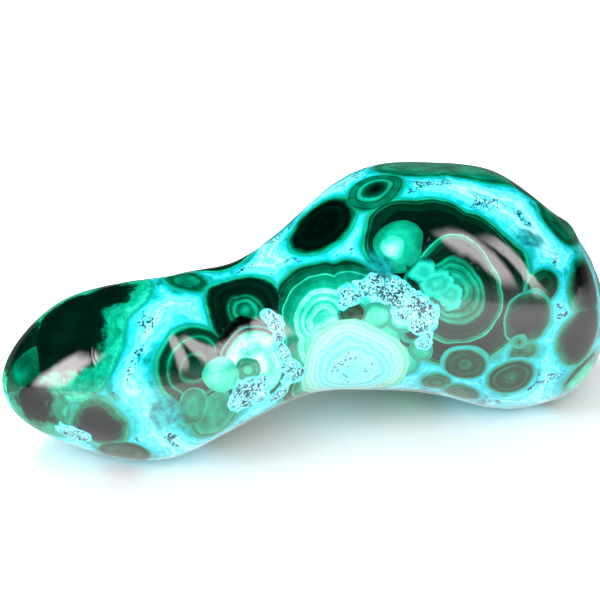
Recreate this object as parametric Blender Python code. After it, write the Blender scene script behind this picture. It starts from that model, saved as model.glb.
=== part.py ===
"""A palm-sized tumbled malachite: one solid stone, lofted through cross-sections and then worn flat and
swollen in places, as a tumbling barrel leaves it. X runs along the stone from its thin end to its thick
end, Y goes to the back, Z is up, and the origin is on the surface that the stone rests on.
"""

import math

import bmesh
import bpy
from mathutils import Vector

MM = 0.001

# The stone's outline in millimetres, from the thin end to the thick end.
#  x along, centre y, centre z, half width, half height
SECTIONS = (
    (-46.0, 3.2, 11.2, 10.5, 9.2),
    (-36.0, 2.6, 12.0, 12.4, 11.0),
    (-24.0, 0.0, 12.7, 12.6, 12.8),
    (-12.0, 1.4, 13.8, 11.6, 10.6),
    (-2.0, 4.2, 16.6, 12.8, 11.4),
    (7.0, 5.4, 19.0, 15.8, 14.8),
    (17.0, 5.8, 19.4, 18.2, 17.2),
    (28.0, 4.4, 16.8, 18.6, 18.4),
    (38.0, 4.4, 14.2, 16.8, 15.6),
    (47.0, 5.8, 10.0, 14.8, 12.6),
)
THIN_CAP = 16.0  # how far in from its tip the rounding of each end reaches
THICK_CAP = 12.0
SQUARENESS = 2.25  # exponent of the cross-sections: 2 is an ellipse

# Places that the barrel wore towards a flat: direction faced, distance from the origin along it, softness.
WORN_FLATS = (
    ((0.11, 0.25, 0.97), 38.1, 0.6),  # the crown of the thick end
    ((0.72, 0.16, 0.67), 46.9, 0.6),  # its outer shoulder
    ((-0.10, 1.0, 0.15), 24.2, 0.9),  # its back
    ((-0.46, -0.70, -0.55), 17.3, 0.5),  # under the front of the thin end
)
# Swellings: centre on the skin, reach, height along the skin's normal.
SWELLINGS = (
    ((-15.0, 7.0, 24.0), 6.0, 0.9),  # on top of the waist
    ((42.0, 13.0, 19.0), 8.0, 2.4),  # behind the thick end
)

# The mesh is a stretched box of quads, which leaves no pole on either end.
QUADS_ALONG, QUADS_ACROSS, QUADS_UP = 36, 18, 16
END_SHARE = 0.16  # share of the outline's length that each end face of the box covers
OUTLINE_STEPS = 400  # for measuring along the outline


def catmull_rom(before, start, end, after, share):
    """A smooth value between start and end."""
    return 0.5 * (
        2 * start
        + (end - before) * share
        + (2 * before - 5 * start + 4 * end - after) * share**2
        + (3 * start - before - 3 * end + after) * share**3
    )


def section_at(x):
    """The cross-section at x: centre y, centre z, half width and half height."""
    last = len(SECTIONS) - 2
    i = min(max(sum(x >= s[0] for s in SECTIONS) - 1, 0), last)
    share = (x - SECTIONS[i][0]) / (SECTIONS[i + 1][0] - SECTIONS[i][0])
    near = [SECTIONS[min(max(i + k, 0), last + 1)] for k in (-1, 0, 1, 2)]
    return [catmull_rom(*(s[column] for s in near), share) for column in (1, 2, 3, 4)]


def roundness_at(x):
    """What the rounding of the two ends leaves of a section's half width and half height."""
    left = 1.0
    for gap, cap in ((x - SECTIONS[0][0], THIN_CAP), (SECTIONS[-1][0] - x, THICK_CAP)):
        inward = min(max(gap / cap, 0.0), 1.0)
        left *= math.sqrt(1 - (1 - inward) ** 2)
    return left


def outline_table():
    """Positions along X, and the length of the outline up to each, as shares of the whole."""
    low, high = SECTIONS[0][0], SECTIONS[-1][0]
    # Cosine spacing, because the outline is steep at both tips.
    places = [
        low + (high - low) * (1 - math.cos(math.pi * i / OUTLINE_STEPS)) / 2
        for i in range(OUTLINE_STEPS + 1)
    ]
    radii = [roundness_at(x) * sum(section_at(x)[2:]) / 2 for x in places]
    lengths = [0.0]
    for i in range(OUTLINE_STEPS):
        step = math.hypot(places[i + 1] - places[i], radii[i + 1] - radii[i])
        lengths.append(lengths[-1] + step)
    return places, [length / lengths[-1] for length in lengths]


def place_at(share, table):
    """The position along X at this share of the outline's length."""
    places, shares = table
    i = min(max(sum(s <= share for s in shares) - 1, 0), len(places) - 2)
    within = (share - shares[i]) / (shares[i + 1] - shares[i])
    return places[i] + (places[i + 1] - places[i]) * within


def on_loft(point, table):
    """Moves a point of the box, whose sides run from -1 to 1, to the lofted skin."""
    along, across, up = point
    # Each end face becomes a round disc, and the four sides run on from its rim.
    disc_y = across * math.sqrt(1 - up * up / 2)
    disc_z = up * math.sqrt(1 - across * across / 2)
    from_axis = math.hypot(disc_y, disc_z)
    if abs(along) > 1 - 1e-6:
        share = END_SHARE * from_axis
        share = share if along < 0 else 1 - share
    else:
        share = END_SHARE + (1 - 2 * END_SHARE) * (along + 1) / 2
    x = place_at(share, table)
    centre_y, centre_z, half_width, half_height = section_at(x)
    round_share = roundness_at(x)
    angle = math.atan2(disc_z, disc_y) if from_axis > 1e-9 else 0.0
    cosine, sine = math.cos(angle), math.sin(angle)
    reach = (abs(cosine) ** SQUARENESS + abs(sine) ** SQUARENESS) ** (-1 / SQUARENESS)
    return Vector(
        (
            x,
            centre_y + half_width * round_share * reach * cosine,
            centre_z + half_height * round_share * reach * sine,
        )
    )


def worn(point):
    """The point after the flats are worn: what stands past a flat is pressed back to it, with a soft edge."""
    for direction, distance, softness in WORN_FLATS:
        facing = Vector(direction).normalized()
        past = (point.dot(facing) - distance) / softness
        # The smooth form of min(past, 0).
        kept = -math.log1p(math.exp(-past)) if past > -30 else past
        point = point + facing * ((kept - past) * softness)
    return point


def swollen(point, normal):
    for centre, reach, height in SWELLINGS:
        gap = (point - Vector(centre)).length / reach
        point = point + normal * (height * math.exp(-gap * gap))
    return point


def box_of_quads():
    """A closed box from -1 to 1, cut into quads, with more of them along X."""
    shape = bmesh.new()
    bmesh.ops.create_cube(shape, size=2.0)
    for axis, count in enumerate((QUADS_ALONG, QUADS_ACROSS, QUADS_UP)):
        edges = [e for e in shape.edges if abs((e.verts[1].co - e.verts[0].co)[axis]) > 1e-6]
        bmesh.ops.subdivide_edges(shape, edges=edges, cuts=count - 1, use_grid_fill=True)
    return shape


def stone_mesh():
    shape = box_of_quads()
    table = outline_table()
    for vertex in shape.verts:
        vertex.co = on_loft(vertex.co, table)
    shape.normal_update()
    for vertex, normal in [(v, v.normal.copy()) for v in shape.verts]:
        vertex.co = worn(swollen(vertex.co, normal))
    for vertex in shape.verts:
        vertex.co.z = max(vertex.co.z, 0.0)
    # The origin goes to the middle of the stone's box, on the surface that it rests on.
    middle = [
        (min(v.co[axis] for v in shape.verts) + max(v.co[axis] for v in shape.verts)) / 2
        for axis in (0, 1)
    ]
    for vertex in shape.verts:
        vertex.co = (vertex.co - Vector((*middle, 0.0))) * MM
    mesh = bpy.data.meshes.new("tumbled_stone")
    bmesh.ops.recalc_face_normals(shape, faces=shape.faces)
    shape.to_mesh(mesh)
    shape.free()
    mesh.shade_smooth()
    return mesh


def polished_malachite():
    material = bpy.data.materials.new("polished_malachite")
    material.use_nodes = True
    surface = material.node_tree.nodes["Principled BSDF"]
    surface.inputs["Base Color"].default_value = (0.02, 0.33, 0.24, 1)
    surface.inputs["Roughness"].default_value = 0.08
    surface.inputs["Metallic"].default_value = 0.0
    return material


for leftover in list(bpy.data.objects):
    bpy.data.objects.remove(leftover)
stone = bpy.data.objects.new("tumbled_stone", stone_mesh())
stone.data.materials.append(polished_malachite())
bpy.context.scene.collection.objects.link(stone)
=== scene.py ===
import math

import bmesh
import bpy
import numpy as np
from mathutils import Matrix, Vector, noise


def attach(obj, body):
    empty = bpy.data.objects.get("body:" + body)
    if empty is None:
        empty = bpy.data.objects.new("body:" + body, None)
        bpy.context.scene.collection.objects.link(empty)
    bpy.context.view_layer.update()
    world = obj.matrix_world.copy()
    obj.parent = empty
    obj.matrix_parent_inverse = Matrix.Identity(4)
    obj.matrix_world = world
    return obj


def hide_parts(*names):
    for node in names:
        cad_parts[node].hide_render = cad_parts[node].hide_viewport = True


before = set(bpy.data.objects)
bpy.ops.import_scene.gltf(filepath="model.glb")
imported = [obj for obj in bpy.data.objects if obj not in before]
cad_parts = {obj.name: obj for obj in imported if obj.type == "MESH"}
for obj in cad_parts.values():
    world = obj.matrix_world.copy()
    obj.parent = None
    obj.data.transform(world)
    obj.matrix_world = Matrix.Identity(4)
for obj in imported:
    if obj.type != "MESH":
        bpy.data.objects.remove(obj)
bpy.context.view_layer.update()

# ---------------------------------------------------------------------------------------------------------
# The table and the light. The stone lies on a white, matt table. Three tall soft lamps, one to the left and
# two in front, draw the long streaks in its polish. A fourth lights it from behind and isn't mirrored.
# ---------------------------------------------------------------------------------------------------------

MM = 0.001
LOOK_AT = Vector((-2.9, -4.9, 21.0)) * MM
VIEW_AZIMUTH, VIEW_ELEVATION, VIEW_DISTANCE = math.radians(-16), math.radians(28), 340 * MM
VIEW_ANGLE = math.radians(14.6)
NEAREST_SEEN = 10 * MM

LAMP_DISTANCE = 0.9
LAMP_FADE = 0.3  # share of a lamp's width over which its edge fades
STREAK_LIGHT, KEY_LIGHT = (1.0, 0.90, 0.94), (1.0, 0.97, 0.98)
# Azimuth and elevation as seen from the stone, width and height, power in watts, colour, and whether the
# polish mirrors it.
LAMPS = {
    "left_strip": (-78, 22, 0.50, 0.90, 11.0, STREAK_LIGHT, True),
    "front_strip": (19, 42, 0.26, 1.25, 5.4, STREAK_LIGHT, True),
    "right_strip": (41, 32, 0.24, 1.10, 4.4, STREAK_LIGHT, True),
    "key_lamp": (-160, 60, 0.45, 0.45, 17.0, KEY_LIGHT, False),
}

TABLE_RADIUS, TABLE_SIDES = 6.0, 96
TABLE_WHITE = (0.94, 0.95, 0.95, 1)
TABLE_GLARE = (0.12, 2.0)  # brightness of the table in the polish, behind the stone and in front of it
CARD_EDGE, GLARE_EDGE = 0.06, -0.10  # where, from back to front, the table changes from dim to glaring
GLARE_NEAR, GLARE_FAR, FAR_SHARE = 0.15, 0.70, 0.4  # over which distance the glare falls to a share of itself

ROOM_ON_THINGS, ROOM_SEEN = 0.85, 0.81  # brightness of the room where it lights things and where it is seen
HAZE, DARKNESS, HAZE_TOP = 0.8, 0.02, 0.36  # the same in the polish, level with the table and above HAZE_TOP
HAZE_BEHIND, HAZE_AHEAD = 0.2, -0.8  # how far round from back to front the haze sets in


def towards(azimuth, elevation):
    """The direction that azimuth and elevation give: azimuth 0 is the front, where -Y points."""
    across = math.cos(elevation)
    return Vector((math.sin(azimuth) * across, -math.cos(azimuth) * across, math.sin(elevation)))


def turned_to(thing, place):
    """Stands a lamp or a camera at a place, facing the stone."""
    thing.location = place
    thing.rotation_mode = "QUATERNION"
    thing.rotation_quaternion = (place - LOOK_AT).to_track_quat("Z", "Y")


def put_in_scene(name, data):
    made = bpy.data.objects.new(name, data)
    bpy.context.scene.collection.objects.link(made)
    return made


def wire(kind, *sources, **settings):
    """Adds a node to the tree in hand, sets it up, and feeds its inputs in order with sockets or plain
    values; None skips one."""
    made = tree.nodes.new(kind)
    for name, value in settings.items():
        setattr(made, name, value)
    for socket, source in zip(made.inputs, sources):
        if isinstance(source, bpy.types.NodeSocket):
            tree.links.new(source, socket)
        elif source is not None:
            socket.default_value = source
    return made


def result_of(operation, *sources):
    """The result of one sum, such as MULTIPLY; MULTIPLY_ADD multiplies the first two and adds the third."""
    return wire("ShaderNodeMath", *sources, operation=operation).outputs[0]


def eased(value, start, end, low=0.0, high=1.0):
    """Low where the value is at start and high where it is at end, with a smooth change between."""
    made = wire("ShaderNodeMapRange", value, start, end, low, high, interpolation_type="SMOOTHSTEP")
    return made.outputs[0]


camera = put_in_scene("camera", bpy.data.cameras.new("camera"))
camera.data.angle = VIEW_ANGLE
camera.data.clip_start = NEAREST_SEEN
turned_to(camera, LOOK_AT + towards(VIEW_AZIMUTH, VIEW_ELEVATION) * VIEW_DISTANCE)
bpy.context.scene.camera = camera
bpy.context.scene.view_settings.view_transform = "Standard"

for name, (azimuth, elevation, width, height, power, colour, mirrored) in LAMPS.items():
    lamp = put_in_scene(name, bpy.data.lights.new(name, "AREA"))
    lamp.data.shape = "RECTANGLE"
    lamp.data.size, lamp.data.size_y = width, height
    lamp.data.energy = power
    lamp.data.color = colour
    turned_to(lamp, LOOK_AT + towards(math.radians(azimuth), math.radians(elevation)) * LAMP_DISTANCE)
    lamp.visible_camera = False
    lamp.visible_glossy = mirrored
    # The cloth over a lamp is brightest in its middle and fades towards its frame.
    lamp.data.use_nodes = True
    tree = lamp.data.node_tree
    across = wire("ShaderNodeNewGeometry").outputs["Parametric"]
    fade = 1.0
    for side in wire("ShaderNodeSeparateXYZ", across).outputs[:2]:
        for dark, bright in ((0.0, LAMP_FADE), (1.0, 1.0 - LAMP_FADE)):
            fade = result_of("MULTIPLY", fade, eased(side, dark, bright))
    tree.links.new(fade, tree.nodes["Emission"].inputs["Strength"])

table_mesh = bmesh.new()
bmesh.ops.create_circle(table_mesh, cap_ends=True, segments=TABLE_SIDES, radius=TABLE_RADIUS)
table = put_in_scene("table", bpy.data.meshes.new("table"))
table_mesh.to_mesh(table.data)
table_mesh.free()
table_top = bpy.data.materials.new("white_table")
table_top.use_nodes = True
tree = table_top.node_tree
matt = tree.nodes["Principled BSDF"]
matt.inputs["Base Color"].default_value = TABLE_WHITE
matt.inputs["Specular IOR Level"].default_value = 0.0
# In the polish the table glares in front of the stone and is dim behind it, as if black card stood there.
# That is for the look of the streaks alone: seen directly, the table is evenly white.
on_table = wire("ShaderNodeTexCoord").outputs["Object"]
glare = eased(wire("ShaderNodeSeparateXYZ", on_table).outputs["Y"], CARD_EDGE, GLARE_EDGE, *TABLE_GLARE)
away = wire("ShaderNodeVectorMath", on_table, operation="LENGTH").outputs["Value"]
fall = wire("ShaderNodeMapRange", away, GLARE_NEAR, GLARE_FAR, 1.0, FAR_SHARE).outputs[0]
mirrored_table = wire("ShaderNodeEmission", None, result_of("MULTIPLY", glare, fall)).outputs[0]
in_polish = wire("ShaderNodeLightPath").outputs["Is Glossy Ray"]
either = wire("ShaderNodeMixShader", in_polish, matt.outputs[0], mirrored_table).outputs[0]
tree.links.new(either, tree.nodes["Material Output"].inputs["Surface"])
table.data.materials.append(table_top)

# The room is pale to the eye and evenly bright on the table. In the polish it is dark overhead and behind,
# with a haze low in front.
room = bpy.data.worlds.new("room")
bpy.context.scene.world = room
room.use_nodes = True
tree = room.node_tree
tree.nodes.clear()
way = wire("ShaderNodeSeparateXYZ", wire("ShaderNodeTexCoord").outputs["Generated"]).outputs
haze = eased(way["Z"], 0.0, HAZE_TOP, HAZE, DARKNESS)
haze = result_of("MULTIPLY", haze, eased(way["Y"], HAZE_BEHIND, HAZE_AHEAD))
mirrored_room = wire("ShaderNodeBackground", None, haze).outputs[0]
lighting_room = wire("ShaderNodeBackground", None, ROOM_ON_THINGS).outputs[0]
seen_room = wire("ShaderNodeBackground", None, ROOM_SEEN).outputs[0]
ray = wire("ShaderNodeLightPath").outputs
room_light = wire("ShaderNodeMixShader", ray["Is Diffuse Ray"], mirrored_room, lighting_room).outputs[0]
room_light = wire("ShaderNodeMixShader", ray["Is Camera Ray"], room_light, seen_room).outputs[0]
wire("ShaderNodeOutputWorld", room_light)

# ---------------------------------------------------------------------------------------------------------
# The stone. Malachite grew outward from many points in round nodules, layer on layer, and blue-green
# chrysocolla filled what was left between them. A tumbling barrel then rounded the whole piece and brought
# all of it to one high gloss. Sizes are in millimetres, in the stone's frame.
# ---------------------------------------------------------------------------------------------------------

# How each kind of nodule is banded: how ragged its layers are, how strong its fine lines, then lightness from
# its rim (0) to its middle (1), where lightness 0 is black-green and 1 is pale mint.
BANDING = {
    "black": (0.40, 0.8, (0.0, 0.54), (0.04, 0.64), (0.10, 0.48), (0.16, 0.56), (0.21, 0.42), (0.25, 0.24),
              (0.29, 0.10), (0.45, 0.05), (0.60, 0.09), (0.75, 0.03), (1.0, 0.10)),
    "dome": (0.0, 1.0, (0.0, 0.60), (0.02, 0.46), (0.035, 0.18), (0.055, 0.32), (0.075, 0.12), (0.14, 0.17),
             (0.16, 0.07), (0.30, 0.06), (0.32, 0.22), (0.328, 0.66), (0.338, 0.44), (0.36, 0.38),
             (0.39, 0.20), (0.46, 0.11), (0.52, 0.14), (0.54, 0.34), (0.56, 0.50), (0.59, 0.36), (0.62, 0.52),
             (0.66, 0.38), (0.70, 0.54), (0.76, 0.40), (0.84, 0.56), (1.0, 0.50)),
    "fan": (0.0, 0.8, (0.0, 0.46), (0.03, 0.20), (0.10, 0.28), (0.17, 0.34), (0.185, 0.78), (0.20, 0.42),
            (0.30, 0.44), (0.37, 0.54), (0.39, 0.80), (0.45, 0.86), (0.48, 0.64), (0.56, 0.86), (0.59, 0.66),
            (0.67, 0.88), (0.70, 0.68), (0.79, 0.88), (0.82, 0.70), (0.90, 0.86), (0.93, 0.70), (1.0, 0.84)),
    "cap": (0.05, 1.0, (0.0, 0.62), (0.05, 0.34), (0.09, 0.07), (0.20, 0.12), (0.24, 0.04), (0.34, 0.10),
            (0.40, 0.42), (0.44, 0.20), (0.50, 0.54), (0.56, 0.30), (0.62, 0.60), (0.70, 0.46), (0.78, 0.76),
            (1.0, 0.90)),
    "arcs": (0.0, 1.0, (0.0, 0.56), (0.04, 0.40), (0.07, 0.18), (0.13, 0.12), (0.17, 0.24), (0.19, 0.52),
             (0.21, 0.30), (0.25, 0.13), (0.34, 0.11), (0.38, 0.32), (0.41, 0.15), (0.50, 0.13), (0.54, 0.34),
             (0.58, 0.18), (0.68, 0.20), (0.74, 0.40), (0.78, 0.22), (0.85, 0.38), (1.0, 0.28)),
    "eye": (0.0, 1.0, (0.0, 0.52), (0.08, 0.30), (0.20, 0.37), (0.34, 0.26), (0.40, 0.46), (0.50, 0.50),
            (0.56, 0.28), (0.64, 0.20), (0.75, 0.05), (1.0, 0.02)),
    "knot": (0.0, 1.0, (0.0, 0.42), (0.08, 0.20), (0.25, 0.27), (0.40, 0.18), (0.48, 0.30), (0.60, 0.26),
             (0.66, 0.50), (0.72, 0.34), (0.80, 0.44), (0.86, 0.60), (0.92, 0.45), (1.0, 0.56)),
    "pale": (0.0, 0.35, (0.0, 0.16), (0.05, 0.20), (0.09, 0.60), (0.14, 0.84), (0.30, 0.94), (0.45, 0.86),
             (0.60, 0.98), (0.75, 0.90), (0.85, 0.99), (1.0, 0.92)),
    "mint": (0.1, 0.25, (0.0, 0.56), (0.08, 0.64), (0.20, 0.76), (0.35, 0.70), (0.50, 0.82), (0.65, 0.76),
             (0.80, 0.90), (1.0, 0.96)),
    "green": (0.1, 0.6, (0.0, 0.50), (0.06, 0.30), (0.15, 0.44), (0.30, 0.36), (0.45, 0.46), (0.60, 0.38),
              (0.80, 0.48), (1.0, 0.40)),
}
KINDS = {name: number for number, name in enumerate(BANDING)}

# Middle x, y, z, radius, depth that the banding takes, kind, lightness added. Here and in the next two
# tables, places and radii were read off the stone's surface by a helper, and then adjusted by eye.
NODULES = [
    (-35.6, -4.0, 18.4, 9.6, 10.0, "black", 0.0),  # the dark top of the thin end, of three lobes
    (-30.0, -1.8, 21.8, 6.9, 10.0, "black", 0.0),
    (-41.0, -1.0, 15.6, 7.2, 10.0, "black", 0.05),
    (-40.8, -6.8, 12.0, 5.8, 9.0, "black", -0.1),
    (-43.0, -4.2, 16.4, 6.2, 9.0, "green", -0.1),
    (-33.2, -10.8, 11.6, 5.3, 13.6, "cap", -0.08),
    (-30.6, -11.0, 4.6, 4.0, 9.0, "green", -0.14),
    (-19.4, -2.6, 23.0, 3.7, 7.0, "green", -0.05),
    (-22.1, -13.2, 17.2, 6.3, 7.4, "arcs", 0.05),
    (-12.6, -8.6, 21.0, 6.6, 8.0, "cap", 0.0),
    (-19.0, -14.5, 11.0, 4.4, 7.0, "green", 0.08),
    (-1.4, -10.6, 20.9, 8.2, 8.6, "fan", 0.0),  # the scalloped fan
    (3.4, -10.8, 22.4, 7.6, 8.0, "fan", 0.0),
    (-2.6, -11.2, 16.6, 6.9, 8.6, "fan", 0.0),
    (-2.6, -11.4, 11.6, 6.2, 8.6, "fan", 0.0),
    (2.0, -1.0, 28.9, 5.9, 13.0, "cap", -0.06),
    (10.0, -0.2, 34.2, 4.3, 4.3, "eye", 0.0),
    (14.6, -8.4, 26.4, 9.5, 11.8, "dome", 0.0),  # the great dome, of three lobes
    (11.6, -8.6, 28.4, 7.2, 11.8, "dome", 0.0),
    (16.4, -13.6, 25.0, 11.5, 11.8, "dome", 0.0),
    (35.6, -13.8, 14.8, 5.2, 16.0, "cap", -0.22),
    (35.8, -12.8, 8.8, 4.5, 9.0, "green", -0.2),
    (26.6, -16.0, 15.2, 3.4, 14.0, "cap", -0.2),
    (37.0, -12.4, 21.1, 4.7, 16.0, "cap", -0.12),
    (18.0, 5.2, 33.4, 6.6, 12.0, "green", 0.0),  # green along the crown
    (26.0, 4.2, 32.2, 7.6, 12.0, "green", 0.0),
    (33.0, 1.6, 29.6, 5.6, 12.0, "green", -0.1),
    (35.4, -6.6, 27.4, 4.6, 9.0, "green", -0.08),
    (43.6, -7.0, 15.4, 3.7, 4.4, "knot", 0.04),  # the thick end
    (44.4, -1.0, 21.8, 3.3, 9.0, "black", -0.1),
    (44.6, 1.2, 11.4, 4.3, 6.0, "arcs", 0.0),
    (41.4, -9.6, 6.2, 2.6, 4.0, "green", 0.0),
]
# The same, with the width of the seam round each, in the order in which they grew over the others
LATE_NODULES = [
    (0.2, -12.4, 18.0, 4.3, 14.0, "mint", 0.16, 0.0),
    (5.6, -13.2, 18.6, 3.6, 14.0, "mint", 0.1, 0.0),
    (-13.6, -11.6, 18.0, 4.7, 15.0, "cap", -0.45, 0.0),
    (-12.2, -12.0, 15.9, 5.3, 5.6, "pale", -0.04, 0.25),
    (-13.4, -14.0, 16.2, 1.8, 2.4, "eye", 0.1, 0.0),
    (-22.4, -14.9, 13.2, 3.2, 6.0, "green", 0.06, 0.0),
    # Partly real and partly painted highlight: a mint nodule, painted pale and round where a soft highlight
    # lies on the polish
    (-18.2, -14.3, 16.3, 2.8, 9.0, "mint", 0.08, 0.0),
    (10.0, -10.2, 29.8, 3.6, 6.0, "mint", -0.16, 0.0),
    (9.2, -10.8, 30.6, 1.7, 9.0, "mint", 0.12, 0.0),
    (29.6, -15.6, 24.3, 2.6, 2.8, "knot", 0.0, 0.3),
    (27.9, -16.6, 22.2, 2.3, 2.8, "knot", 0.0, 0.3),
    (27.0, -15.8, 19.8, 4.4, 16.0, "cap", -0.3, 0.3),
    (26.0, -17.0, 16.7, 2.0, 2.1, "knot", 0.05, 0.3),
    (18.8, -15.9, 13.4, 3.0, 3.6, "knot", 0.0, 0.8),
    (25.6, -16.4, 10.7, 3.5, 3.4, "knot", 0.0, 0.7),
    (37.4, -13.4, 7.2, 3.4, 5.0, "mint", -0.05, 0.2),
    (15.4, -13.2, 10.2, 2.6, 2.6, "knot", 0.1, 0.5),
    (20.0, -12.6, 7.6, 3.0, 2.9, "knot", 0.1, 0.5),
    (10.7, -13.2, 14.5, 3.2, 4.0, "mint", -0.05, 0.0),
    (8.6, -12.7, 12.6, 2.5, 3.2, "mint", -0.1, 0.0),
    (12.7, -14.5, 16.2, 2.3, 4.0, "mint", -0.1, 0.3),
    (10.8, -14.8, 19.5, 1.9, 8.0, "cap", -0.1, 0.4),
    (9.4, -14.4, 21.6, 2.2, 3.0, "mint", 0.05, 0.4),
    (5.8, -13.8, 22.0, 1.9, 3.0, "mint", 0.0, 0.3),
    (2.7, -12.7, 22.3, 1.8, 3.0, "knot", 0.0, 0.3),
]
# Pockets of chrysocolla in four finishes: middle x, y, z, radius
POCKETS = {
    "speckled": (
        (5.4, -13.2, 25.9, 2.4), (7.8, -13.9, 26.0, 3.0), (10.1, -15.3, 23.7, 3.0), (12.2, -16.2, 21.4, 2.4),
        (12.4, -15.9, 18.0, 1.6), (2.5, -12.1, 24.4, 1.9), (-38.0, -10.6, 7.4, 2.4),
        (-13.4, -13.9, 12.2, 2.8), (-6.7, -12.4, 13.4, 2.3), (-8.6, -13.4, 10.6, 1.9),
        (-9.2, -10.8, 22.3, 1.5), (-8.7, -11.6, 21.0, 1.4), (-8.2, -12.7, 19.4, 1.4),
        (-7.6, -13.2, 17.4, 1.4), (-6.9, -13.3, 15.3, 1.7),
    ),
    "cave": ((2.6, -12.1, 12.8, 8.0),),
    "turquoise": ((12.7, -13.8, 28.1, 2.1), (14.3, -14.9, 26.4, 2.6), (15.8, -15.8, 24.6, 2.3)),
    "cloudy": ((7.3, -11.7, 28.6, 2.4), (-26.2, -16.1, 12.6, 3.3), (28.9, -12.2, 29.8, 2.8)),
}

# The faces turned away from the camera have nodules of two lobes each, thrown at random and kept where there
# is room. The last four values are shares of the first lobe's radius.
SCATTER_SEED, SCATTERED, SCATTER_TRIES = 17, 27, 1500
SCATTER_SINK = (0.97, 0.93, 0.97)  # how far in from the face a middle lies, as a share of where the face is
SCATTER_RADII = (2.8, 8.4)
SCATTER_TONES = (-0.1, 0.1)
SCATTER_DEPTH = 1.1  # depth that the banding takes
ROOM_NEEDED = 0.55  # least gap to the nearest rim
LOBE_OFFSET, LOBE_SIZE = 0.6, 0.8

GROWTH_SEED = 56  # found by a search of 399 seeds for the outlines that they give the dome and the fan
WARP_LENGTH, WARP_REACH = 9.0, 1.2  # how the growth was squeezed: length of a wave, most that a point moves

UNDERCUT = 0.06  # how far the chrysocolla is worn below the malachite
UNDERCUT_EDGE = (-0.2, 0.4)  # where the wear starts and where it is full, from inside a rim to outside it
# Chips and bumps that the tumbling has rounded over: x, y, z, spread, and how far they stand out
DENTS = (
    (37.0, -0.8, 28.2, 1.8, -0.9),  # the notch across the shoulder
    (38.6, 4.2, 25.6, 1.8, -0.9),
    (39.0, -3.4, 26.8, 2.8, 0.6),
    (40.4, 0.8, 24.8, 2.8, 0.6),
    (-14.5, 6.5, 26.0, 3.4, 0.4),
    (-21.5, 4.0, 25.5, 2.6, -0.4),
    (-3.0, 3.0, 27.5, 2.8, -0.4),
)
MERGE_WITHIN = 0.01
QUAD_ANGLE = math.radians(50)
MESH_LEVELS = 2

shape = bmesh.new()
shape.from_mesh(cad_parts["tumbled_stone"].data)
bmesh.ops.remove_doubles(shape, verts=shape.verts, dist=MERGE_WITHIN * MM)
bmesh.ops.join_triangles(
    shape, faces=shape.faces, angle_face_threshold=QUAD_ANGLE, angle_shape_threshold=QUAD_ANGLE
)
bmesh.ops.recalc_face_normals(shape, faces=shape.faces)
cage = bpy.data.meshes.new("stone_cage")
shape.to_mesh(cage)
shape.free()
stone = put_in_scene("polished_stone", cage)
rounding = stone.modifiers.new("rounding", "SUBSURF")
rounding.levels = rounding.render_levels = MESH_LEVELS
rounded = bpy.data.meshes.new_from_object(stone.evaluated_get(bpy.context.evaluated_depsgraph_get()))
stone.modifiers.clear()
stone.data = rounded
stone.data.shade_smooth()

noise.seed_set(GROWTH_SEED)


def squeezed(places):
    """Where places in the stone lie in the growth before it was squeezed."""
    places = np.asarray(places, dtype=float)
    return places + WARP_REACH * np.array([noise.noise_vector(Vector(p) / WARP_LENGTH) for p in places])


def read_vectors(name):
    """A vector of every vertex, one to a row: co or normal."""
    values = np.empty(len(rounded.vertices) * 3)
    rounded.vertices.foreach_get(name, values)
    return values.reshape(-1, 3)


points = read_vectors("co") / MM
grown = squeezed(points)
rounded.attributes.new("grown", "FLOAT_VECTOR", "POINT").data.foreach_set(
    "vector", grown.astype(np.float32).ravel()
)

to_camera = towards(VIEW_AZIMUTH, VIEW_ELEVATION)
turned_away = [n for n, vertex in enumerate(rounded.vertices) if vertex.normal.dot(to_camera) < 0.0]
scatter = np.random.default_rng(SCATTER_SEED)
placed = 0
for attempt in range(SCATTER_TRIES):
    middle = points[scatter.choice(turned_away)] * SCATTER_SINK
    radius = scatter.uniform(*SCATTER_RADII)
    kind = list(KINDS)[scatter.integers(len(KINDS))]
    tone = round(scatter.uniform(*SCATTER_TONES), 2)
    aside = scatter.normal(size=3)
    gap = min(math.dist(middle, n[:3]) - n[3] for n in NODULES + LATE_NODULES)
    if placed < SCATTERED and gap > radius * ROOM_NEEDED:
        lobe = middle + aside / np.linalg.norm(aside) * radius * LOBE_OFFSET
        NODULES.append((*middle.round(1), radius, radius * SCATTER_DEPTH, kind, tone))
        NODULES.append((*lobe.round(1), radius * LOBE_SIZE, radius * SCATTER_DEPTH, kind, tone))
        placed += 1


def gaps_to(nodules):
    """The distance from every vertex to the rim of each nodule; it is negative inside one."""
    middles = squeezed([n[:3] for n in nodules])
    radii = np.array([n[3] for n in nodules])
    return np.linalg.norm(grown[:, None] - middles, axis=2) - radii


# Tumbling wears the softer chrysocolla a little below the malachite, which leaves the nodules just proud.
seam_in = gaps_to(NODULES).min(axis=1)
for nodule, mine in zip(LATE_NODULES, gaps_to(LATE_NODULES).T):
    seam_in = np.minimum(mine, np.maximum(seam_in, nodule[-1] - mine))
worn_start, worn_full = UNDERCUT_EDGE
wear = np.clip((seam_in - worn_start) / (worn_full - worn_start), 0.0, 1.0)
rise = -UNDERCUT * (wear * wear * (3.0 - 2.0 * wear))
for x, y, z, spread, lift in DENTS:
    away = np.linalg.norm(points - (x, y, z), axis=1)
    rise += lift * np.exp(-((away / spread) ** 2))
worn = points + read_vectors("normal") * rise[:, None]
rounded.vertices.foreach_set("co", (worn * MM).ravel())
rounded.update()

# The polished face has bands of green round each nodule, and the seams between are blue-green, with dark
# specks.
MALACHITE_IOR = 1.80
MALACHITE_ROUGHNESS, SEAM_ROUGHER, SPECK_ROUGHER = 0.05, 0.05, 0.15
WAVE_HEIGHT, PIT_DEPTH = 0.022, 0.02
PIT_EDGE = (0.71, 0.73)  # how high the noise is where a pit starts and where it is full


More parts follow.
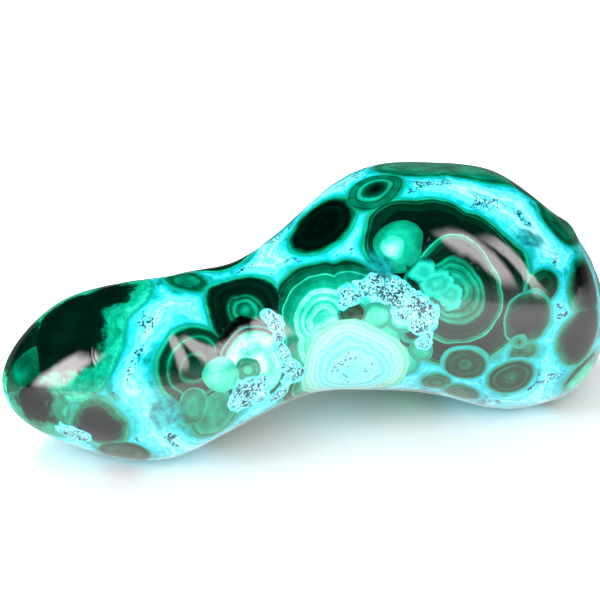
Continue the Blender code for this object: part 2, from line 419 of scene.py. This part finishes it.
def paint(code):
    """A colour from its six-digit code, in the linear light that materials work in."""
    shares = [int(code[i : i + 2], 16) / 255 for i in (0, 2, 4)]
    return (*[c / 12.92 if c < 0.04045 else ((c + 0.055) / 1.055) ** 2.4 for c in shares], 1.0)


GREENS = (
    (0.0, paint("000805")), (0.10, paint("011a12")), (0.20, paint("003420")), (0.32, paint("005a3e")),
    (0.44, paint("028262")), (0.56, paint("08a884")), (0.66, paint("14c29e")), (0.76, paint("42d6b6")),
    (0.86, paint("86ecd4")), (0.94, paint("b9faeb")), (1.0, paint("e1fff8")),
)
SEAM_BLUES = (
    (0.0, paint("027a64")), (0.04, paint("059a86")), (0.12, paint("08aeb0")), (0.22, paint("18c6d2")),
    (0.30, paint("36dde8")), (0.33, paint("0c9ca8")), (0.36, paint("3cdfe9")), (0.50, paint("74f1f5")),
    (0.62, paint("28cbd8")), (0.78, paint("84f2f5")), (0.90, paint("aef8f9")), (1.0, paint("5fe0e8")),
)
POCKET_BLUES = (
    (0.0, paint("25cfcf")), (0.06, paint("50e2e6")), (0.2, paint("8ff4f6")), (0.35, paint("5fe6ea")),
    (0.5, paint("b5fffc")), (0.7, paint("74ecf0")), (1.0, paint("a8fbfa")),
)
CAVE_BLUES = (
    (0.0, paint("3cc09c")), (0.04, paint("86dcc2")), (0.09, paint("66ccae")), (0.15, paint("a0e6d4")),
    (0.19, paint("7cd6c0")), (0.25, paint("a8eade")), (0.29, paint("64cfc6")), (0.33, paint("98eae4")),
    (0.40, paint("60dadd")), (0.47, paint("92eced")), (0.54, paint("55d4dc")), (0.60, paint("98f0f1")),
    (1.0, paint("74e4ea")),
)
TURQUOISES = (
    (0.0, paint("014a3e")), (0.05, paint("04806a")), (0.12, paint("10c0a4")), (0.25, paint("2cd6bc")),
    (0.5, paint("10b096")), (0.8, paint("3cd4be")), (1.0, paint("74e8d8")),
)
SPECK_COLOURS = paint("013a4c"), paint("067084")
CLOUD_COLOURS = paint("075f62"), paint("12a8a4")

material = bpy.data.materials.new("polished_malachite")
material.use_nodes = True
tree = material.node_tree


def mixed_by(share, first, second, data_type="RGBA"):
    """The first where share is 0 and the second where it is 1."""
    made = wire("ShaderNodeMix", share, data_type=data_type)
    slot = {"FLOAT": 2, "VECTOR": 4, "RGBA": 6}[data_type]
    for socket, source in zip(made.inputs[slot : slot + 2], (first, second)):
        if isinstance(source, bpy.types.NodeSocket):
            tree.links.new(source, socket)
        else:
            socket.default_value = source
    return made.outputs[{"FLOAT": 0, "VECTOR": 1, "RGBA": 2}[data_type]]


def ramp_of(value, stops):
    """The colour or the grey that the stops give to a value, each a position and what it has there."""
    made = wire("ShaderNodeValToRGB", value)
    elements = made.color_ramp.elements
    while len(elements) < len(stops):
        elements.new(0.5)
    for element, (position, colour) in zip(elements, stops):
        element.position = position
        element.color = colour if isinstance(colour, tuple) else (colour, colour, colour, 1)
    return made.outputs[0]


def cloud(where, scale, detail, roughness=0.5, dimensions="3D"):
    """Noise from 0 to 1, with scale in waves per millimetre."""
    made = wire("ShaderNodeTexNoise", noise_dimensions=dimensions)
    tree.links.new(where, made.inputs["W" if dimensions == "1D" else "Vector"])
    made.inputs["Scale"].default_value = scale
    made.inputs["Detail"].default_value = detail
    made.inputs["Roughness"].default_value = roughness
    return made.outputs


def centred(noisy):
    """Noise from -0.5 to 0.5."""
    return result_of("SUBTRACT", noisy["Fac"], 0.5)


place = wire("ShaderNodeAttribute", attribute_name="grown").outputs["Vector"]


def shaken(scale, detail, reach):
    """The place, moved at random by up to about half of reach."""
    shake = cloud(place, scale, detail)["Color"]
    shake = wire("ShaderNodeVectorMath", shake, (0.5, 0.5, 0.5), operation="SUBTRACT").outputs[0]
    shake = wire("ShaderNodeVectorMath", shake, operation="SCALE")
    shake.inputs["Scale"].default_value = reach
    return wire("ShaderNodeVectorMath", place, shake.outputs[0], operation="ADD").outputs[0]


def gap_from(where, x, y, z, radius):
    """The distance to a rim; it is negative inside."""
    middle = tuple(squeezed([(x, y, z)])[0])
    away = wire("ShaderNodeVectorMath", where, middle, operation="DISTANCE").outputs["Value"]
    return result_of("SUBTRACT", away, radius)


# The early nodules met where each had grown to, so a place belongs to the one whose rim is nearest.
FAR_OFF = 99.0  # stands for the second rim while there is only one nodule
rippled = shaken(0.3, 1.0, 0.7)
gap, second, facts = None, None, None
for x, y, z, radius, reach, kind, tone in NODULES:
    mine = gap_from(rippled, x, y, z, radius)
    own = (KINDS[kind], tone, reach)
    if gap is None:
        gap, second, facts = mine, FAR_OFF, wire("ShaderNodeCombineXYZ", *own).outputs[0]
        continue
    facts = mixed_by(result_of("LESS_THAN", mine, gap), facts, own, "VECTOR")
    second = result_of("MINIMUM", second, result_of("MAXIMUM", mine, gap))
    gap = result_of("MINIMUM", gap, mine)
depth = result_of("MULTIPLY", gap, -1.0)
apart = result_of("SUBTRACT", second, gap)  # nought half way between two nodules

# Each late nodule covers what was there before, with a seam of its own round it.
seam = gap  # how far into a seam a place is
for x, y, z, radius, reach, kind, tone, width in LATE_NODULES:
    mine = gap_from(rippled, x, y, z, radius)
    inside = result_of("LESS_THAN", mine, 0.0)
    depth = mixed_by(inside, depth, result_of("MULTIPLY", mine, -1.0), "FLOAT")
    facts = mixed_by(inside, facts, (KINDS[kind], tone, reach), "VECTOR")
    seam = result_of("MINIMUM", mine, result_of("MAXIMUM", seam, result_of("SUBTRACT", width, mine)))

# Lightness of the green, by how deep in the nodule a layer lies.
SAME_KIND = 0.4  # kinds are whole numbers, so anything under a half tells them apart
split = wire("ShaderNodeSeparateXYZ", facts).outputs
kind, tone, reach = split["X"], split["Y"], split["Z"]
waver = centred(cloud(place, 0.25, 2.0))
ragged = centred(cloud(place, 0.55, 6.0, 0.6))
inward = result_of("MULTIPLY_ADD", waver, 0.05, result_of("DIVIDE", depth, reach))
lightness, line_share = None, None
for name, (raggedness, lines, *stops) in BANDING.items():
    banded = ramp_of(result_of("MULTIPLY_ADD", ragged, raggedness, inward), stops)
    is_this = result_of("COMPARE", kind, KINDS[name], SAME_KIND)
    lightness = banded if lightness is None else mixed_by(is_this, lightness, banded)
    line_share = lines if line_share is None else mixed_by(is_this, line_share, lines, "FLOAT")
lightness = wire("ShaderNodeSeparateColor", lightness).outputs[0]

# Fine growth lines follow the bands and patches cross them, both strongest in pale layers. The reach shifts
# the lines along, so that nodules of different reach don't share them.
LINE_SCALE, LINE_SHIFT = 2.6, 31.7
line_place = result_of("MULTIPLY_ADD", reach, LINE_SHIFT, result_of("MULTIPLY_ADD", waver, 0.6, depth))
fine_lines = centred(cloud(line_place, LINE_SCALE, 3.0, 0.65, "1D"))
line_strength = result_of("MULTIPLY", result_of("MULTIPLY_ADD", lightness, 0.40, 0.16), line_share)
patches = centred(cloud(place, 0.32, 5.0, 0.62))
patch_strength = result_of("MULTIPLY_ADD", eased(lightness, 0.05, 0.5), 0.45, 0.1)
lightness = result_of("MULTIPLY_ADD", fine_lines, line_strength, lightness)
lightness = result_of("MULTIPLY_ADD", patches, patch_strength, lightness)
green = ramp_of(result_of("ADD", lightness, tone), GREENS)

# Chrysocolla is deep teal against the malachite and paler towards the middle of a seam, in uneven streaks.
SEAM_DEPTH = 3.2  # where the last of the seam's colours is reached
STREAK_SCALE = 3.2
seam_waver = centred(cloud(place, 0.8, 6.0, 0.65))
streak_place = result_of("MULTIPLY_ADD", seam_waver, 0.5, seam)
streaks = centred(cloud(streak_place, STREAK_SCALE, 3.0, 0.7, "1D"))
drifts = centred(cloud(place, 0.22, 4.0, 0.6))
paleness = result_of("DIVIDE", seam, SEAM_DEPTH)
for shift, strength in ((seam_waver, 0.7), (streaks, 0.7), (drifts, 1.3)):
    reached = result_of("MULTIPLY", eased(seam, 0.1, 0.8), strength)
    paleness = result_of("MULTIPLY_ADD", shift, reached, paleness)
blue = ramp_of(paleness, SEAM_BLUES)


# A pocket is an uneven patch: speckled, laid down in pale layers like a cave, turquoise, or a dark cloud.
def depth_in(pockets, where):
    """How deep a place lies in the nearest of some pockets; it is negative outside them."""
    gap = None
    for pocket in pockets:
        mine = gap_from(where, *pocket)
        gap = mine if gap is None else result_of("MINIMUM", gap, mine)
    return result_of("MULTIPLY", gap, -1.0)


def pocket_colour(depth, full_depth, unevenness, stops):
    """The first of the stops at a pocket's rim, and the last of them at its full depth."""
    inward = result_of("DIVIDE", depth, full_depth)
    return ramp_of(result_of("MULTIPLY_ADD", seam_waver, unevenness, inward), stops)


torn = shaken(0.3, 3.5, 3.6)
speckled = depth_in(POCKETS["speckled"], torn)
caved = depth_in(POCKETS["cave"], shaken(0.25, 2.0, 2.0))
clouded = depth_in(POCKETS["cloudy"], torn)
turquoise = depth_in(POCKETS["turquoise"], shaken(0.3, 2.0, 2.6))
in_speckled = result_of("GREATER_THAN", speckled, 0.0)
in_cave = result_of("GREATER_THAN", caved, 0.0)
blue = mixed_by(in_cave, blue, pocket_colour(caved, 7.6, 0.08, CAVE_BLUES))
blue = mixed_by(in_speckled, blue, pocket_colour(speckled, 2.4, 1.0, POCKET_BLUES))
in_turquoise = result_of("GREATER_THAN", turquoise, 0.0)
green = mixed_by(in_turquoise, green, pocket_colour(turquoise, 3.0, 0.5, TURQUOISES))

# Dark specks gather half way between two nodules, and crowd the pockets and the middle of the cave. A grain
# shows as a speck where it is above the threshold.
GRAIN_SCALE = 3.0
HALF_WAY = (2.0, 0.6)  # how much farther the second rim is than the nearest, where specks start and are full
CAVE_MIDDLE = (3.4, 4.6)  # how deep in the cave they start and are full
SPECK_THRESHOLD, SPECK_RAGGED = 0.92, 0.35  # the threshold away from these places, and how unevenly it runs
SPECK_LOWERING = -0.42  # what is added to it where specks are full
grains = cloud(place, GRAIN_SCALE, 4.0, 0.7)["Fac"]
crowd = cloud(place, 0.2, 2.0)["Fac"]
half_way = result_of("MULTIPLY", eased(apart, *HALF_WAY), eased(seam, 0.4, 0.8))
speck_room = result_of("MULTIPLY", half_way, eased(crowd, 0.42, 0.56))
cave_rows = result_of("MULTIPLY", eased(caved, *CAVE_MIDDLE), 0.85)
speck_room = result_of("MAXIMUM", speck_room, result_of("MAXIMUM", eased(speckled, 0.0, 0.5), cave_rows))
threshold = result_of("MULTIPLY_ADD", ragged, SPECK_RAGGED, SPECK_THRESHOLD)
threshold = result_of("MULTIPLY_ADD", speck_room, SPECK_LOWERING, threshold)
specks = eased(result_of("SUBTRACT", grains, threshold), 0.0, 0.03)
blue = mixed_by(specks, blue, mixed_by(eased(ragged, -0.08, 0.08), *SPECK_COLOURS))

in_seam = result_of("GREATER_THAN", seam, 0.0)
blue_here = result_of("MAXIMUM", in_seam, result_of("MAXIMUM", in_speckled, in_cave))
colour = mixed_by(blue_here, green, blue)
cloud_share = result_of("MULTIPLY", eased(clouded, -0.4, 1.0), 0.85)
colour = mixed_by(cloud_share, colour, mixed_by(eased(ragged, -0.1, 0.12), *CLOUD_COLOURS))

surface = tree.nodes["Principled BSDF"]
tree.links.new(colour, surface.inputs["Base Color"])
surface.inputs["IOR"].default_value = MALACHITE_IOR
gloss = result_of("MULTIPLY_ADD", blue_here, SEAM_ROUGHER, MALACHITE_ROUGHNESS)
gloss = result_of("MULTIPLY_ADD", specks, SPECK_ROUGHER, gloss)
tree.links.new(gloss, surface.inputs["Roughness"])
# The tumbled face waves very slightly and has a few fine pits.
wave = cloud(place, 0.35, 1.0)["Fac"]
pits = eased(cloud(place, 1.1, 1.0)["Fac"], *PIT_EDGE)
height = result_of("MULTIPLY_ADD", wave, WAVE_HEIGHT, result_of("MULTIPLY", pits, -PIT_DEPTH))
relief = wire("ShaderNodeBump", 1.0, MM, None, height)
tree.links.new(relief.outputs[0], surface.inputs["Normal"])
stone.data.materials.clear()
stone.data.materials.append(material)

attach(stone, "root")
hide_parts("tumbled_stone")
